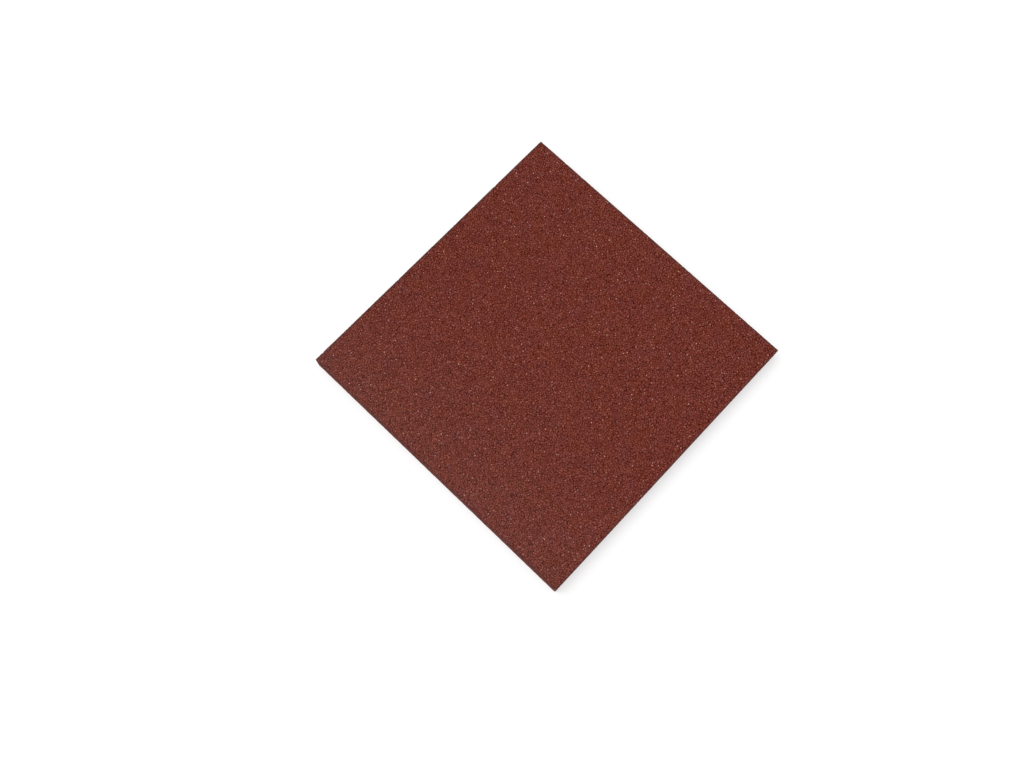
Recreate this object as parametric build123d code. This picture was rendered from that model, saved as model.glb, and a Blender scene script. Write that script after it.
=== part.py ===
from build123d import *

import os

# Square rubber floor tile, pressed in one piece from bonded rubber crumb.
# Millimetres, +Z up. The origin is the middle of the underside, so the tile lies
# on the plane Z = 0, with its sides along X and Y and its walking surface on top.

# Driving dimensions
tile_side = 500.0  # length of each of the four sides
tile_thickness = 30.0  # underside to walking surface
edge_radius = 1.5  # rounding that the mould leaves on the upper rim and the upright corners

node_name = "rubber_tile"
output_folder = "parts"


def make_tile():
    """The slab with a flat underside, its upper rim and upright corners rounded."""
    slab = Box(
        tile_side,
        tile_side,
        tile_thickness,
        align=(Align.CENTER, Align.CENTER, Align.MIN),
    )
    upper_rim = slab.faces().sort_by(Axis.Z)[-1].edges()
    upright_corners = slab.edges().filter_by(Axis.Z)
    return fillet(upper_rim + upright_corners, edge_radius)


tile = make_tile()
tile.label = node_name
os.makedirs(output_folder, exist_ok=True)
export_step(tile, os.path.join(output_folder, node_name + ".step"))

tile_size = tile.bounding_box().size
print(f"{node_name}: {tile_size.X:.1f} x {tile_size.Y:.1f} x {tile_size.Z:.1f} mm")
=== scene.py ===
import math
from itertools import product

import bpy
import numpy as np
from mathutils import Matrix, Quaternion, Vector
from mathutils.geometry import delaunay_2d_cdt


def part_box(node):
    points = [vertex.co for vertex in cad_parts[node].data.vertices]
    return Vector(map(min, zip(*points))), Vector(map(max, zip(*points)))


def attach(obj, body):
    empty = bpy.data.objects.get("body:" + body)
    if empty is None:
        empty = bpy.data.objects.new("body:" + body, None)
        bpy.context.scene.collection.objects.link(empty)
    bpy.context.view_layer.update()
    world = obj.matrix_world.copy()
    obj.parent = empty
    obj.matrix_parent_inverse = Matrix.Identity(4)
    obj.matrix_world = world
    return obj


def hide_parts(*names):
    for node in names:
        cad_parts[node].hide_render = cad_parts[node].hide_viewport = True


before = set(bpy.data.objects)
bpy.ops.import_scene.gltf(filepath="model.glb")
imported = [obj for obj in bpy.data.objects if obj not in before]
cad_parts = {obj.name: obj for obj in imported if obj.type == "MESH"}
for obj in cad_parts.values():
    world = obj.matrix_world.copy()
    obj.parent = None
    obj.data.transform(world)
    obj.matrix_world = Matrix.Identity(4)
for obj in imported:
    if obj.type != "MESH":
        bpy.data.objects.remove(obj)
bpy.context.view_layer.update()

tileLow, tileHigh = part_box("rubber_tile")
print("frame: tile of", [round(size * 1000, 1) for size in tileHigh - tileLow], "mm")

scene = bpy.context.scene
scene.view_settings.view_transform = "Standard"


def addNode(tree, kind, inputs=None, **settings):
    node = tree.nodes.new("ShaderNode" + kind)
    for name, value in settings.items():
        setattr(node, name, value)
    for name, value in (inputs or {}).items():
        if isinstance(value, bpy.types.NodeSocket):
            tree.links.new(value, node.inputs[name])
        else:
            node.inputs[name].default_value = value
    return node


def newMaterial(name):
    material = bpy.data.materials.new(name)
    material.use_nodes = True
    material.node_tree.nodes.clear()
    return material, material.node_tree


# The tile's skin: every crumb is a crown in a ring of gap points that it shares with its neighbours
crumbSkin = {
    "pitch": 0.0034,  # metres between neighbouring crumbs
    "undersidePitch": 0.012,  # the hidden face is plain, so a coarse net will do
    "stray": 0.60,  # how far a crumb strays from its place, as a share of the pitch
    "rimRadius": 0.0015,  # rounding of the upper rim and the upright corners
    "fullDepth": 0.0013,  # metres under the mould's face that a depth of 1 stands for
    "crowns": (0.0, 0.22),  # shallowest and deepest crown
    "gaps": (0.62, 0.86),  # shallowest and deepest gap point
    "rimRelief": 0.6,  # share of the depth that is left on the rounding
    "creaseAngle": 30,  # degrees, past which an edge between facets is sharp
    "weld": 1e-9,  # metres within which two crumbs count as one
    "seed": 11,
}
blockSides = list(product(range(3), (-1, 1)))  # axis and direction of each face
underside = (2, -1)


def axesAlong(axis):
    # the two axes that the faces across this one lie along
    return [(axis + 1) % 3, (axis + 2) % 3]


def strewCrumbs(half, rng):
    # crumbs on the block's corners, along its edges and over its faces, measured from its middle
    def row(axis, pitch):
        steps = round(2 * half[axis] / pitch)
        spots, step = np.linspace(-half[axis], half[axis], steps + 1, retstep=True)
        return spots[1:-1], step * crumbSkin["stray"]

    places = [np.array(list(product((-1, 1), repeat=3))) * half]
    for axis in range(3):
        others = axesAlong(axis)
        spots, reach = row(axis, crumbSkin["pitch"])
        for signs in product((-1, 1), repeat=2):
            edge = np.empty((len(spots), 3))
            edge[:, axis] = spots + rng.uniform(-reach, reach, len(spots))
            edge[:, others] = signs * half[others]
            places.append(edge)
        for sign in (-1, 1):
            pitch = crumbSkin["undersidePitch" if (axis, sign) == underside else "pitch"]
            (first, firstReach), (second, secondReach) = [row(other, pitch) for other in others]
            face = np.full((len(first) * len(second), 3), sign * half[axis])
            face[:, others] = np.stack(np.meshgrid(first, second), -1).reshape(-1, 2)
            face[:, others] += rng.uniform(-1, 1, (len(face), 2)) * (firstReach, secondReach)
            places.append(face)
    return np.concatenate(places)


def netFace(places, half, axis, sign):
    # a net of triangles between the crumbs of one face, turned outwards
    ids = np.flatnonzero(places[:, axis] == sign * half[axis])
    flat = places[ids][:, axesAlong(axis)]
    wholeArea = 0  # Blender's code for triangles over all that the crumbs span
    made = delaunay_2d_cdt([Vector(spot) for spot in flat], [], [], wholeArea, crumbSkin["weld"])
    triangles, origins = made[2:4]
    backTo = ids[[origin[0] for origin in origins]]
    return backTo[np.array(triangles)][:, ::sign]


def fanCrumbs(net, count):
    # at every edge of the net, each of its two crumbs gets a facet to the gap points on both sides of it
    starts, ends = net.ravel(), np.roll(net, -1, 1).ravel()
    beside = np.repeat(np.arange(len(net)), 3)
    key, twinKey = starts * count + ends, ends * count + starts
    order = np.argsort(key)
    twin = order[np.searchsorted(key, twinKey, sorter=order) % len(key)]
    # the tile's lower edge has no gap point beyond it, so there the facet ends at the next crumb
    across = np.where(key[twin] == twinKey, count + beside[twin], ends)
    return np.stack([starts, across, count + beside], 1), beside


def ringPoints(corners):
    # the incentre of each triangle, so that a ring never folds over
    weights = np.linalg.norm(np.roll(corners, -1, 1) - np.roll(corners, 1, 1), axis=2)
    return np.einsum("tc,tcx->tx", weights / weights.sum(1, keepdims=True), corners)


def sinkCrumbs(places, depth, half):
    # the block's rounding, with every crown and gap point sunk into it; the underside stays flat
    radius = crumbSkin["rimRadius"]
    core = np.clip(places, -half + (radius, radius, 0), half - radius)
    away = places - core
    length = np.linalg.norm(away, axis=1)
    outward = away / np.where(length > 0, length, 1)[:, None]
    onRounding = (away != 0).sum(1) > 1
    relief = np.where(onRounding, crumbSkin["rimRelief"], 1) * crumbSkin["fullDepth"]
    return core + outward * (radius - depth * relief)[:, None]


# The square that the finish is baked into, with a patch for each side of the tile, as shares of its width
bakeSheet = {
    "top": 0.68,
    "underside": 0.30,
    "gap": 0.005,
}


def bakeSpots(shares, faces, homes, thickness):
    # the top and the underside stand next to each other, the four narrow sides lie in strips above
    wide, under, gap = bakeSheet["top"], bakeSheet["underside"], bakeSheet["gap"]
    strip = wide * thickness
    firstStrip = wide + 3 * gap  # a double gap above the top's patch
    spots = np.empty((len(faces), 3, 2))
    for home, (axis, sign) in enumerate(blockSides):
        plan, size, corner = [0, 1], (wide, wide), (gap, gap)
        if (axis, sign) == underside:
            size, corner = (under, under), (1 - gap - under, gap)
        elif axis < 2:
            plan, size, corner = [1 - axis, 2], (wide, strip), (gap, firstStrip + home * (strip + gap))
        mine = homes == home
        spots[mine] = (shares[faces[mine]][..., plan] + 1) / 2 * size + corner
    return spots


def makeCrumbSkin():
    rng = np.random.default_rng(crumbSkin["seed"])
    half = np.array(tileHigh - tileLow) / 2
    middle = np.array(tileHigh + tileLow) / 2
    crowns = strewCrumbs(half, rng)
    count = len(crowns)

    # the underside keeps its plain net, and every other face is fanned out into crumbs
    nets = [netFace(crowns, half, axis, sign) for axis, sign in blockSides]
    homes = [np.full(len(net), home) for home, net in enumerate(nets)]
    plain = blockSides.index(underside)
    plainNet, plainHome = nets.pop(plain), homes.pop(plain)
    net, homes = np.concatenate(nets), np.concatenate(homes)
    fans, beside = fanCrumbs(net, count)
    faces = np.concatenate([fans, plainNet])
    homes = np.concatenate([homes[beside], plainHome])

    places = np.concatenate([crowns, ringPoints(crowns[net])])
    spots = bakeSpots(places / half, faces, homes, half[2] / half[0])
    crownDepths = rng.uniform(*crumbSkin["crowns"], count)
    gapDepths = rng.uniform(*crumbSkin["gaps"], len(net))
    depth = np.concatenate([crownDepths, gapDepths])
    tints = rng.random((count, 3))[faces[:, 0]]

    mesh = bpy.data.meshes.new("rubberTile")
    mesh.from_pydata((middle + sinkCrumbs(places, depth, half)).tolist(), [], faces.tolist())
    mesh.shade_smooth()
    mesh.set_sharp_from_angle(angle=math.radians(crumbSkin["creaseAngle"]))
    mesh.uv_layers.new(name="OFBake").uv.foreach_set("vector", spots.astype(np.float32).ravel())
    mesh.attributes.new("depth", "FLOAT", "POINT").data.foreach_set("value", depth.astype(np.float32))
    crumbData = mesh.attributes.new("crumb", "FLOAT_VECTOR", "FACE").data
    crumbData.foreach_set("vector", tints.astype(np.float32).ravel())
    tile = bpy.data.objects.new("rubberTile", mesh)
    scene.collection.objects.link(tile)
    print("crumb skin:", count, "crumbs,", len(faces), "triangles")
    return tile


# The rubber's finish, colours as linear RGB, lengths in metres
rubber = {
    "grainSize": 0.0010,  # angular grain on the crumbs
    "raggedSize": 0.0006,  # how finely the grain's outlines are broken up
    "raggedDetail": 2,
    "raggedReach": 0.0003,
    "shades": (  # share of the grain up to each shade
        (0.00, (0.096, 0.0095, 0.0054, 1)),
        (0.04, (0.147, 0.0162, 0.0084, 1)),
        (0.18, (0.183, 0.0333, 0.0211, 1)),
        (0.50, (0.217, 0.0490, 0.0345, 1)),
        (0.84, (0.270, 0.0740, 0.0554, 1)),
        (0.97, (0.334, 0.1059, 0.0825, 1)),
        (1.00, (0.401, 0.1406, 0.1123, 1)),
    ),
    "crumbShade": (0.97, 1.03),  # darkest and palest crumb
    "mottleShade": (0.84, 1.16),  # unevenness within a grain
    "mottleRange": (0.3, 0.7),
    "gapShadeTint": (0.16, 0.033, 0.010, 1),  # painted shade: the deepest gaps are darker and redder
    "gapShadeRange": (0.42, 0.82),  # depths between which the painted gap shade deepens
    "fleckSize": 0.0011,  # stray pale crumbs
    "fleckShare": 0.0090,
    "fleckColour": (0.92, 0.56, 0.47, 1),
    "blotchSize": 0.022,  # slow drift of the dye
    "blotchDetail": 1,
    "blotchRange": (0.3, 0.7),
    "warmBlotch": (1.025, 1.00, 0.89, 1),
    "coolBlotch": (0.975, 0.99, 1.09, 1),
    # painted sheen: a pale grey veil mixed into the colour along the -X side
    "paintedSheenColour": (0.55, 0.48, 0.45, 1),
    "paintedSheenShare": 0.024,  # painted sheen along the -X side, where the face is a little paler
    "paintedSheenReach": 0.35,
    "paintedSheenFall": 2.5,  # how steeply the painted sheen thins out
    "rimShadeColour": (0.078, 0.036, 0.034, 1),  # painted shade along the upper rim
    "rimShadeShare": (0.45, 1.0),  # least and most shaded crumb
    "rimShadeReach": (0.005, 0.003),  # inwards over the face, and down the sides
    "specular": 0.015,
    "roughness": (0.50, 0.75),  # glossiest and dullest crumb
    "bumpHeight": 0.00030,
    "bumpStrength": 0.8,
    "bumpRagged": 0.5,  # share of the fine unevenness beside the grain
}


def crumbRubber():
    material, tree = newMaterial("redBrownCrumbRubber")

    def mix(share, first, second, blend="MIX"):
        sockets = {0: share, 6: first, 7: second}  # the Mix node's own numbers for colours
        return addNode(tree, "Mix", sockets, data_type="RGBA", blend_type=blend).outputs[2]

    def mapRange(value, low, high, start=0.0, stop=1.0):
        sockets = {"Value": value, "From Min": start, "From Max": stop, "To Min": low, "To Max": high}
        return addNode(tree, "MapRange", sockets).outputs[0]

    def calc(operation, *values):
        return addNode(tree, "Math", dict(enumerate(values)), operation=operation).outputs[0]

    def noise(size, detail):
        return addNode(tree, "TexNoise", {"Vector": place, "Scale": 1 / size, "Detail": detail}).outputs

    def cells(size):
        tints = addNode(tree, "TexVoronoi", {"Vector": ragged, "Scale": 1 / size}).outputs["Color"]
        return addNode(tree, "SeparateColor", {"Color": tints}).outputs

    # grain with ragged outlines, in a few shades
    place = addNode(tree, "TexCoord").outputs["Object"]
    wander = noise(rubber["raggedSize"], rubber["raggedDetail"])
    reach = (rubber["raggedReach"],) * 3
    ragged = addNode(tree, "VectorMath", {0: wander["Color"], 1: reach, 2: place},
                     operation="MULTIPLY_ADD").outputs[0]
    grainTint, grainLift, _ = cells(rubber["grainSize"])
    ramp = addNode(tree, "ValToRGB", {"Fac": grainTint})
    stops = ramp.color_ramp.elements
    while len(stops) < len(rubber["shades"]):
        stops.new(0.5)  # anywhere, its place comes next
    for stop, (position, colour) in zip(stops, rubber["shades"]):
        stop.position, stop.color = position, colour

    # what varies from crumb to crumb, the painted shade down into the gaps, and what varies over the tile
    crumb = addNode(tree, "Attribute", attribute_name="crumb").outputs["Vector"]
    crumbTint, crumbGloss, crumbRimShade = addNode(tree, "SeparateXYZ", {"Vector": crumb}).outputs
    depth = addNode(tree, "Attribute", attribute_name="depth").outputs["Fac"]
    # painted shade that deepens towards the bottom of the gaps between crumbs
    gap = mapRange(depth, 0.0, 1.0, *rubber["gapShadeRange"])
    mottle = mapRange(wander["Fac"], *rubber["mottleShade"], *rubber["mottleRange"])
    fleckTint = cells(rubber["fleckSize"])[0]
    fleck = mapRange(fleckTint, 0.0, 1.0, 1 - rubber["fleckShare"])
    drift = noise(rubber["blotchSize"], rubber["blotchDetail"])["Fac"]
    blotchShare = mapRange(drift, 0.0, 1.0, *rubber["blotchRange"])
    blotch = mix(blotchShare, rubber["warmBlotch"], rubber["coolBlotch"])

    # painted sheen from one side, painted shade along the rim
    alongX, alongY, height = addNode(tree, "SeparateXYZ", {"Vector": place}).outputs
    # painted sheen, strongest at the -X side and thinning out inwards
    fromSide = mapRange(alongX, 1.0, 0.0, tileLow.x, tileLow.x + rubber["paintedSheenReach"])
    paintedSheen = calc("MULTIPLY", calc("POWER", fromSide, rubber["paintedSheenFall"]), rubber["paintedSheenShare"])
    inwards, down = rubber["rimShadeReach"]
    outermost = calc("MAXIMUM", calc("ABSOLUTE", alongX), calc("ABSOLUTE", alongY))
    nearEdge = mapRange(outermost, 0.0, 1.0, tileHigh.x - inwards, tileHigh.x)
    nearTop = mapRange(height, 0.0, 1.0, tileHigh.z - down, tileHigh.z)
    # painted shade along the upper rim and down the sides, patchy from crumb to crumb
    paintedRimShade = calc("MULTIPLY", calc("MINIMUM", nearEdge, nearTop), mapRange(crumbRimShade, *rubber["rimShadeShare"]))

    colour = mix(1.0, ramp.outputs["Color"], mapRange(crumbTint, *rubber["crumbShade"]), "MULTIPLY")
    colour = mix(1.0, colour, mottle, "MULTIPLY")
    colour = mix(1.0, colour, blotch, "MULTIPLY")
    colour = mix(fleck, colour, rubber["fleckColour"])
    # the painted gap shade darkens the colour down into the gaps
    colour = mix(gap, colour, rubber["gapShadeTint"], "MULTIPLY")
    colour = mix(paintedSheen, colour, rubber["paintedSheenColour"])
    # the painted rim shade darkens the colour along the upper rim
    colour = mix(paintedRimShade, colour, rubber["rimShadeColour"])
    lift = calc("MULTIPLY_ADD", wander["Fac"], rubber["bumpRagged"], grainLift)
    bump = addNode(tree, "Bump", {
        "Height": lift,
        "Strength": rubber["bumpStrength"],
        "Distance": rubber["bumpHeight"],
    })
    shader = addNode(tree, "BsdfPrincipled", {
        "Base Color": colour,
        "Roughness": mapRange(crumbGloss, *rubber["roughness"]),
        "Specular IOR Level": rubber["specular"],
        "Normal": bump.outputs["Normal"],
    })
    addNode(tree, "OutputMaterial", {"Surface": shader.outputs[0]})
    print("crumb rubber: material ready")
    return material


tile = makeCrumbSkin()
tile.data.materials.append(crumbRubber())
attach(tile, "root")
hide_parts("rubber_tile")


# White studio floor, just under the tile
studioFloor = {
    "width": 40.0,  # metres
    "drop": 0.0002,
    "white": (0.55, 0.55, 0.55, 1),
    "cameraGlow": 0.50,  # lifts the floor to white in the picture, without lighting the tile
}


def seenDirectly(tree):
    # 1 for what the camera, a mirror or glass shows, 0 for the light that falls on things
    path = addNode(tree, "LightPath").outputs
    seen = addNode(tree, "Math", {0: path["Is Camera Ray"], 1: path["Is Glossy Ray"]}, operation="MAXIMUM")
    seen = addNode(tree, "Math", {0: seen.outputs[0], 1: path["Is Transmission Ray"]}, operation="MAXIMUM")
    return seen.outputs[0]


def makeFloor():
    half = studioFloor["width"] / 2
    level = tileLow.z - studioFloor["drop"]
    corners = [(-half, -half, level), (half, -half, level), (half, half, level), (-half, half, level)]
    mesh = bpy.data.meshes.new("studioFloor")
    mesh.from_pydata(corners, [], [(0, 1, 2, 3)])
    material, tree = newMaterial("whiteFloor")
    glow = addNode(tree, "Math", {0: seenDirectly(tree), 1: studioFloor["cameraGlow"]}, operation="MULTIPLY")
    light = addNode(tree, "Emission", {"Strength": glow.outputs[0]})
    matt = addNode(tree, "BsdfDiffuse", {"Color": studioFloor["white"]})
    both = addNode(tree, "AddShader", {0: matt.outputs[0], 1: light.outputs[0]})
    addNode(tree, "OutputMaterial", {"Surface": both.outputs[0]})
    mesh.materials.append(material)
    floor = bpy.data.objects.new("studioFloor", mesh)
    scene.collection.objects.link(floor)
    return floor


makeFloor()
print("floor: ready")

# Soft studio light: a broad overhead lamp, a lower one that brings out the crumbs, and an even sky
studio = {
    "sky": 0.50,  # as it lights the tile
    "background": 1.0,  # as it looks in the picture
    "lamps": {
        "overheadLamp": {"from": (-0.15, 0.10, 1.0), "spread": 50, "strength": 1.10},
        "sideLamp": {"from": (-0.30, 0.60, 1.00), "spread": 40, "strength": 0.78},
    },
}


def lightStudio():
    for name, lamp in studio["lamps"].items():
        light = bpy.data.lights.new(name, "SUN")
        light.angle = math.radians(lamp["spread"])
        light.energy = lamp["strength"]
        holder = bpy.data.objects.new(name, light)
        holder.location = lamp["from"]
        holder.rotation_euler = (-Vector(lamp["from"])).to_track_quat("-Z", "Y").to_euler()
        scene.collection.objects.link(holder)
    world = bpy.data.worlds.new("studioSky")
    scene.world = world
    world.use_nodes = True
    tree = world.node_tree
    tree.nodes.clear()
    levels = {"Value": seenDirectly(tree), "To Min": studio["sky"], "To Max": studio["background"]}
    level = addNode(tree, "MapRange", levels)
    sky = addNode(tree, "Background", {"Color": (1, 1, 1, 1), "Strength": level.outputs[0]})
    addNode(tree, "OutputWorld", {"Surface": sky.outputs[0]})


lightStudio()
print("light: ready")

# Camera as it stood for the photograph
photoView = {
    "imageWidth": 1024,  # pixels
    "focalLength": 1064.8,  # pixels
    "sensorWidth": 36.0,  # millimetres
    "clipStart": 0.01,  # metres
    "azimuth": -50.35,  # degrees
    "elevation": 76.81,
    "roll": 4.04,
    "distance": 1.609,  # metres
    "lookAt": (-0.0709, 0.0082),  # on the walking surface, in the middle of the picture
}


def placeCamera():
    lens = bpy.data.cameras.new("photoCamera")
    lens.sensor_width = photoView["sensorWidth"]
    lens.clip_start = photoView["clipStart"]
    lens.lens = photoView["focalLength"] / photoView["imageWidth"] * lens.sensor_width
    camera = bpy.data.objects.new("photoCamera", lens)
    turn, rise = math.radians(photoView["azimuth"]), math.radians(photoView["elevation"])
    back = Vector((math.sin(turn) * math.cos(rise), -math.cos(turn) * math.cos(rise), math.sin(rise)))
    camera.location = Vector((*photoView["lookAt"], tileHigh.z)) + back * photoView["distance"]
    roll = Quaternion((0, 0, 1), math.radians(photoView["roll"]))
    camera.rotation_euler = ((-back).to_track_quat("-Z", "Y") @ roll).to_euler()
    scene.collection.objects.link(camera)
    scene.camera = camera


placeCamera()
print("camera: ready")
